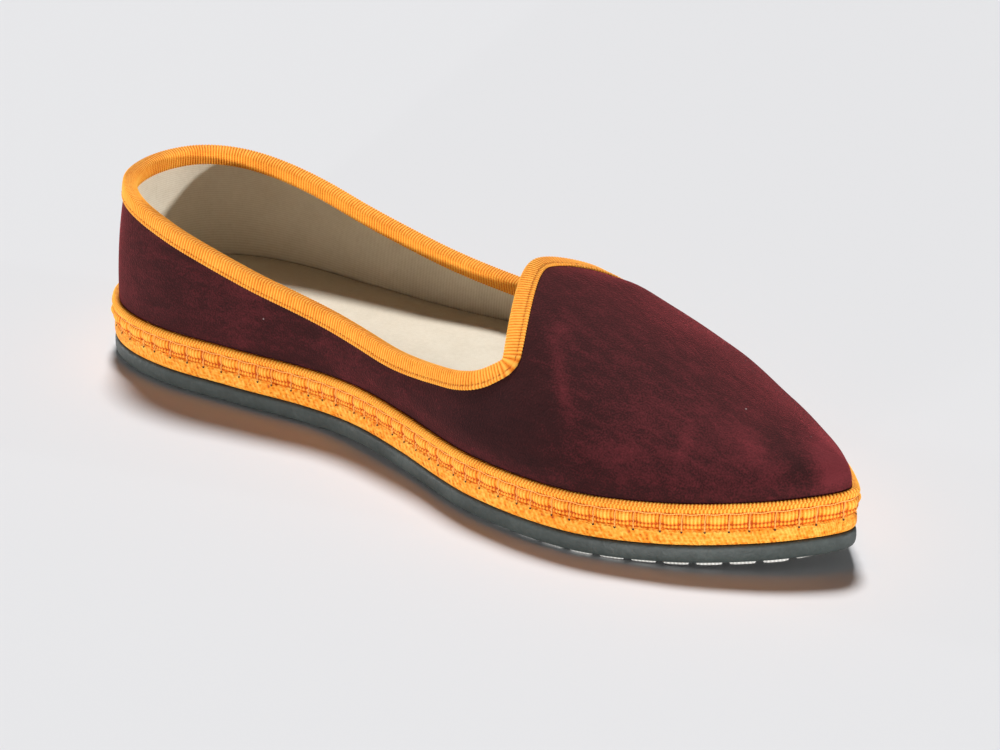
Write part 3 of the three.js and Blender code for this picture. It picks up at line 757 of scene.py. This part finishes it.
# %% Linking thread and needle holes
LINK_HEIGHT, LINK_OFFSET, LINK_SAG, LINK_DIP = 14.95, 0.06, 0.12, 0.08
link_t = round_path(8 * stitches)
link_wave = np.cos(2 * np.pi * np.arange(8 * stitches) / 8)
link_points = round_points(link_t, LINK_OFFSET - LINK_DIP * link_wave, LINK_HEIGHT + LINK_SAG * link_wave)
turn = np.arange(6) * np.pi / 3
outwards = round_points(link_t, 1.0, 0.0) - round_points(link_t, 0.0, 0.0)
outwards[:, 2] = 0
ring = np.cos(turn)[:, None] * outwards[:, None] + np.sin(turn)[:, None] * np.array([0, 0, 1.0])
points = link_points[:, None] + 0.8 * THREAD_RADIUS * ring
faces, row, column = grid(len(link_t), 6, True, True)
uv = np.stack([row * 0.75, column * 0.3], axis=-1)
make_piece("linking_thread", points.reshape(-1, 3), faces, orange_thread, uv)

HOLE_HEIGHT, HOLE_OFFSET, HOLE_RADIUS = 9.6, -0.42, 0.4
hole_steps = HOLE_HEIGHT + HOLE_RADIUS * np.linspace(-1, 1, 5)
hole_t = np.repeat(np.interp(knots[:-1], fine_length, fine_t)[:, None], len(hole_steps), axis=1)
holes = round_points(hole_t, np.full(hole_t.shape, HOLE_OFFSET), hole_steps)
points, faces, uv = tubes(holes, HOLE_RADIUS, ACROSS)
make_piece("needle_holes", points, faces, hole_dark, uv)

# %% [markdown]
# A seam of short stitches holds the topline tape. It lies in a shallow groove near the tape's outer edge, and
# its places are those of the groove's own column of points.

# %% Seam of the topline tape
# Step and length in points of the tape, four to a rib
SEAM_STEP, SEAM_LENGTH, SEAM_RADIUS, SEAM_LIFT = 7, 4, 0.11, 0.06
seam = tape_points[:, GROOVE_COLUMN] + SEAM_LIFT * swelling[:, GROOVE_COLUMN]
starts = np.arange(len(seam) // SEAM_STEP) * SEAM_STEP
seam_paths = seam[starts[:, None] + np.arange(SEAM_LENGTH)]
points, faces, uv = tubes(seam_paths, SEAM_RADIUS, np.array([0.3, 0.2, 1.0]))
make_piece("tape_seam_stitches", points, faces, seam_thread, uv)

# %% [markdown]
# ## The layers of the sole
# Midsole, rubber and insole are slabs: a side profile carried round the outline, closed by strips across the
# top and the bottom from the inner side to the outer side.

# %% Midsole
# On its own map the cloth goes up by a step from ring to ring, and on at a slant
RING_STEP, CLOTH_SLANT = 0.8, 0.3


def slab(profile, count):
    """A side profile of offset and height round the outline, closed across its first and last ring."""
    t = np.arange(count) * RING / count
    points = round_points(np.repeat(t[:, None], len(profile), axis=1), profile[:, 0], profile[:, 1])
    return slab_faces(points.transpose(1, 0, 2), count)


def slab_faces(rings, count):
    """Quads between stacked rings, and strips across the first and the last of them."""
    sides, row, column = grid(len(rings), count, False, True)
    k = np.arange(count // 2 - 1)
    strip = np.stack([k, k + 1, count - 2 - k, count - 1 - k], axis=1)
    faces = np.concatenate([sides, strip, strip[:, ::-1] + (len(rings) - 1) * count])
    points = rings.reshape(-1, 3)
    side_uv = np.stack([column * ROUND_LENGTH / count + row * CLOTH_SLANT, row * RING_STEP], axis=-1)
    cap_uv = points[faces[len(sides):]][..., :2]
    return points, faces, np.concatenate([side_uv, cap_uv])


MIDSOLE_PROFILE = np.array([
    (-1.60, 5.70), (-0.90, 5.75), (-0.45, 5.95), (-0.15, 6.45), (-0.04, 7.10), (-0.02, 7.80), (-0.05, 8.50),
    (-0.10, 9.20), (-0.25, 9.80), (-0.60, 10.15), (-1.30, 10.28), (-2.40, 10.30), (-2.40, 14.90),
])
points, faces, uv = slab(MIDSOLE_PROFILE, 960)
make_piece("midsole_wrap", points, faces, wrap_cloth, uv, "midsole")

# %% Rubber sole's body
RUBBER_PROFILE = np.array([
    (-6.20, 1.95), (-5.20, 1.90), (-4.80, 0.40), (-3.00, 0.40), (-1.70, 0.42), (-1.00, 0.55), (-0.55, 0.85),
    (-0.25, 1.35), (-0.06, 2.10), (0.00, 3.00), (-0.02, 3.90), (-0.10, 4.60), (-0.28, 5.05), (-0.55, 5.30),
    (-0.90, 5.40),
])
points, faces, uv = slab(RUBBER_PROFILE, 720)
make_piece("rubber_sole", points, faces, rubber, uv, "outsole")

# %% [markdown]
# The insole is a sheet that fills the foot of the lining. Its edge climbs the inside of the last to the
# sheet's thickness, so near the toe it thins out under the velvet.

# %% Insole
INSOLE_THICKNESS, INSOLE_INSET, INSOLE_PLACES = 2.4, WALL + 0.9, 480
ring_t = np.arange(INSOLE_PLACES) * RING / INSOLE_PLACES
base = last_point(ring_t, np.zeros(INSOLE_PLACES), INSOLE_INSET)
top = last_point(ring_t, np.ones(INSOLE_PLACES), INSOLE_INSET)
share = np.clip(INSOLE_THICKNESS / (top[:, 2] - base[:, 2]), 0, 1)
climb = np.arcsin(share ** (smooth_row(fullness_row, ring_t) / 2)) * 2 / np.pi
rings = np.stack([last_point(ring_t, climb * k, INSOLE_INSET) for k in (0.0, 0.4, 0.8, 1.0)])
points, faces, uv = slab_faces(rings, INSOLE_PLACES)
make_piece("cotton_insole", points, faces, lining_cloth, uv, "insole")

# %% [markdown]
# ## The tread
# The tread is a height field on a grid of lines that aren't evenly spaced: two lines stand close together at
# every groove's edge, so that the walls are steep and the floor is flat with very few faces. Each groove is a
# rectangle in the table, repeated at every pitch of the tyre and mirrored to both sides.

# %% Tread face
TREAD_PITCH, TREAD_SHIFT, PITCH_START, EDGE = 12.0, 1.3, -2.0, 0.12
TREAD_LEVEL, TREAD_INSET, TREAD_SHEET, SHOULDER_RIBS = 0.38, 4.75, 0.4, 2.0
# Columns: first and last x in the pitch, first and last distance from the middle, depth
GROOVES = np.array([
    (-0.45, 7.50, 5.55, 6.45, 1.3), (-0.45, 0.45, 6.45, 17.0, 1.3), (8.60, 10.6, 5.55, 6.45, 0.9),
    (2.25, 9.75, 18.3, 19.7, 1.3), (5.55, 6.45, 19.7, 31.0, 1.3), (-1.60, 1.60, 23.6, 24.5, 1.1),
    (-1.60, -0.9, 24.5, 27.0, 1.1), (0.90, 1.60, 24.5, 27.0, 1.1),
])
LONG_GROOVES = np.array([(32.7, 33.3, 0.7), (39.6, 40.2, 0.7)])
pitches = np.arange(-11, 12)[:, None] * TREAD_PITCH + TREAD_SHIFT - TREAD_PITCH / 2


def lines(edges):
    """Grid lines just before and just after every edge."""
    return np.concatenate([np.ravel(edges) - EDGE, np.ravel(edges) + EDGE])


tread_x = np.unique(np.concatenate([
    lines(pitches + GROOVES[:, 0]), lines(pitches + GROOVES[:, 1]),
    LENGTH / 2 * np.sin(np.linspace(-1.57, 1.57, 90)),
]).round(3))
half_y = np.concatenate([lines(GROOVES[:, 2:4]), lines(LONG_GROOVES[:, :2]), np.arange(1, 46, 3.0)])
tread_y = np.unique(np.concatenate([-half_y, half_y]).round(3))
rim_t = np.linspace(0, TOE_ROW, 2000)
inner_x, inner_y = outline(rim_t, -TREAD_INSET)
outer_x, outer_y = outline(RING - rim_t, -TREAD_INSET)
tread_x = tread_x[(tread_x > max(inner_x[0], outer_x[0])) & (tread_x < min(inner_x[-1], outer_x[-1]))]
x, y = np.meshgrid(tread_x, tread_y, indexing="ij")
y = np.clip(y, np.interp(x, inner_x, inner_y), np.interp(x, outer_x, outer_y))
in_pitch = (x - TREAD_SHIFT + TREAD_PITCH / 2 - PITCH_START) % TREAD_PITCH + PITCH_START
depth = np.zeros_like(x)
for x0, x1, y0, y1, deep in GROOVES:
    inside = (in_pitch > x0) & (in_pitch < x1) & (np.abs(y) > y0) & (np.abs(y) < y1)
    depth = np.where(inside, np.maximum(depth, deep), depth)
for y0, y1, deep in LONG_GROOVES:
    depth = np.where((np.abs(y) > y0) & (np.abs(y) < y1), deep, depth)
points = np.stack([x, y, TREAD_LEVEL + depth + rise(x)], axis=-1).reshape(-1, 3)
faces, row, column = grid(*x.shape)
shoulder = (np.abs(y) > LONG_GROOVES[0, 1]) & (np.abs(y) < LONG_GROOVES[1, 0])
tread = make_piece("tread_face", points, faces, rubber, points[faces][..., :2], None,
                   {"shoulder": SHOULDER_RIBS * shoulder})
if sum(p.normal.z * p.area for p in tread.data.polygons) > 0:
    tread.data.flip_normals()
thicken(tread, TREAD_SHEET, -1)

# %% [markdown]
# On the middle of the tread, behind the ball of the foot, is a bare oblong pad with a thin raised rim. It is a
# stadium: two half circles joined by straight sides, drawn smaller from ring to ring. Points stand close
# along the straight sides too, so that the pad follows the arch of the sole.

# %% Bare pad
PAD_MIDDLE, PAD_LENGTH, PAD_WIDTH = 26.0, 64.0, 13.0
# Columns: inset from the pad's outline, height
PAD_PROFILE = np.array([
    (0.0, 0.60), (0.0, 0.30), (0.2, 0.16), (0.55, 0.16), (0.75, 0.29), (0.95, 0.32), (1.6, 0.32), (2.4, 0.32),
])
PAD_PLACES = 80
straight = (PAD_LENGTH - PAD_WIDTH) / 2
half_side = straight + np.pi / 4 * PAD_WIDTH
# Places along one side, from end to end. Past the straight part a place turns round the end's half circle
side_place = ((np.arange(PAD_PLACES) + 0.5) / PAD_PLACES * 2 - 1) * half_side
centre = np.clip(side_place, -straight, straight)
turn = (side_place - centre) / (PAD_WIDTH / 2)
radius = PAD_WIDTH / 2 - PAD_PROFILE[:, :1]
x, y = PAD_MIDDLE + centre + radius * np.sin(turn), -radius * np.cos(turn)
x, y = np.concatenate([x, x[:, ::-1]], axis=1), np.concatenate([y, -y[:, ::-1]], axis=1)
points, faces, uv = slab_faces(np.stack([x, y, PAD_PROFILE[:, 1:] + rise(x)], axis=-1), 2 * PAD_PLACES)
make_piece("bare_pad", points, faces, rubber, uv, None)

# %% [markdown]
# ## The running stitches
# White waxed thread holds the rubber to the midsole in rows that follow the outline, one inside the other. A
# row is the outline drawn smaller. At the heel the inner rows close to a V, and a short row runs from its tip
# to the heel's end. Another crosses the rows to the toe. Each stitch is a short tube that dips into the
# rubber at both ends.

# %% Running stitches
STITCH_LENGTH, STITCH_RADIUS, STITCH_SHARE, STITCH_DEPTH, TOE_SLACK = 8.6, 0.57, 0.46, 0.5, 0.3
HEEL_MIDDLE, TOE_MIDDLE, V_LENGTH, HALF_WIDTH = 1.0, -0.5, 32.0, 41.0
share = np.linspace(-1, 1, 9)
dip = share ** 10


def stitch_row(x, y):
    """Stitches at equal steps of length along a row. Under the lifted toe they hang a little slack."""
    run = np.concatenate([[0], np.cumsum(np.hypot(np.diff(x), np.diff(y)))])
    count = int(run[-1] / STITCH_LENGTH)
    place = (np.arange(count)[:, None] + 0.5 + STITCH_SHARE * share) * run[-1] / count
    x, y = np.interp(place, run, x), np.interp(place, run, y)
    slack = TOE_SLACK * np.clip(rise(x) / 1.5, 0, 1)
    return np.stack([x, y, rise(x) + STITCH_RADIUS - slack + (STITCH_DEPTH + slack) * dip], axis=-1)


dense = np.linspace(0, RING, 3000)
x, y = outline(dense)
# The outermost row is nearer the edge at the toe than at the heel, but not at the very tip
nearer = 2.9 * np.clip((x + 20) / 90, 0, 1) - 1.6 * np.clip((x - 117) / 6, 0, 1)
threads = [stitch_row(*outline(dense, -4.5 + nearer))]
middle = (np.interp(x, inner_x, inner_y) + np.interp(x, outer_x, outer_y)) / 2
for inset, closes in ((11.5, False), (19.0, True), (26.5, True), (33.5, True)):
    row_x, row_y = x * (1 - inset / (LENGTH / 2)), middle + (y - middle) * (1 - inset / HALF_WIDTH)
    if closes:
        opening = np.clip((row_x - row_x.min()) / V_LENGTH, 0, 1) ** 0.6
        row_y = HEEL_MIDDLE + (row_y - HEEL_MIDDLE) * opening
    threads.append(stitch_row(row_x, row_y))

# %% Short rows at the heel and the toe
short_rows = np.array([
    (-123.0, HEEL_MIDDLE), (-114.5, HEEL_MIDDLE), (-106.0, HEEL_MIDDLE),
    (98.5, TOE_MIDDLE), (107.0, TOE_MIDDLE), (115.5, TOE_MIDDLE),
])
x = short_rows[:, :1] + 4.0 * share
y = np.broadcast_to(short_rows[:, 1:], x.shape)
threads.append(np.stack([x, y, rise(x) + STITCH_RADIUS + STITCH_DEPTH * dip], axis=-1))
points, faces, uv = tubes(np.concatenate(threads), STITCH_RADIUS, np.array([0.0, 0.0, 1.0]))
make_piece("running_stitches", points, faces, white_thread, uv)

# %% [markdown]
# ## Floor, light and camera
# One broad light from behind and above gives the shadow its soft edge on the pale floor. Low lights from the
# front, the toe and the heel brighten the sides and hardly touch the floor. The camera looks down at the inner
# side from the toe's end, with a long lens.

# %% Stage
floor_material, tree, shader = new_material("pale_paper_floor")
shader.inputs["Base Color"].default_value = colour("#dcdcde")
shader.inputs["Roughness"].default_value = 0.9
floor_mesh = bpy.data.meshes.new("floor")
floor_mesh.from_pydata([(-4, -4, 0), (4, -4, 0), (4, 4, 0), (-4, 4, 0)], [], [(0, 1, 2, 3)])
floor_mesh.materials.append(floor_material)
floor = bpy.data.objects.new("floor", floor_mesh)
bpy.context.collection.objects.link(floor)


def add_light(name, kind, place, target, **settings):
    """A light at a place, turned to the target, with its own settings."""
    data = bpy.data.lights.new(name, kind)
    for key, value in settings.items():
        setattr(data, key, value)
    light = bpy.data.objects.new(name, data)
    bpy.context.collection.objects.link(light)
    light.location = place
    light.rotation_euler = (Vector(target) - Vector(place)).to_track_quat("-Z", "Y").to_euler()


add_light("back_softbox", "SUN", (-0.45, 0.55, 1.30), (0, 0, 0), energy=3.6, angle=np.radians(13))
add_light("front_softbox", "SUN", (0.30, -0.95, 0.02), (0, 0, 0), energy=2.8, angle=np.radians(2))
add_light("toe_softbox", "SUN", (0.95, 0.30, 0.02), (0, 0, 0), energy=2.2, angle=np.radians(2))
add_light("heel_softbox", "SUN", (-0.95, -0.20, 0.04), (0, 0, 0), energy=1.0, angle=np.radians(4))
world = bpy.data.worlds.new("studio")
bpy.context.scene.world = world
world.use_nodes = True
world.node_tree.nodes["Background"].inputs["Color"].default_value = colour("#f4f9fb")
world.node_tree.nodes["Background"].inputs["Strength"].default_value = 0.06
bpy.context.scene.view_settings.view_transform = "Standard"

# %% Camera
AZIMUTH, ELEVATION, DISTANCE = np.radians(40.0), np.radians(24.0), 1.06
back = Vector((
    np.sin(AZIMUTH) * np.cos(ELEVATION), -np.cos(AZIMUTH) * np.cos(ELEVATION), np.sin(ELEVATION),
))
camera_data = bpy.data.cameras.new("camera")
camera_data.sensor_width, camera_data.lens = 36.0, 138.0
camera = bpy.data.objects.new("camera", camera_data)
bpy.context.collection.objects.link(camera)
camera.rotation_mode = "QUATERNION"
camera.location = Vector((0.008, 0.0, 0.020)) + back * DISTANCE
camera.rotation_quaternion = (-back).to_track_quat("-Z", "Y")
bpy.context.scene.camera = camera
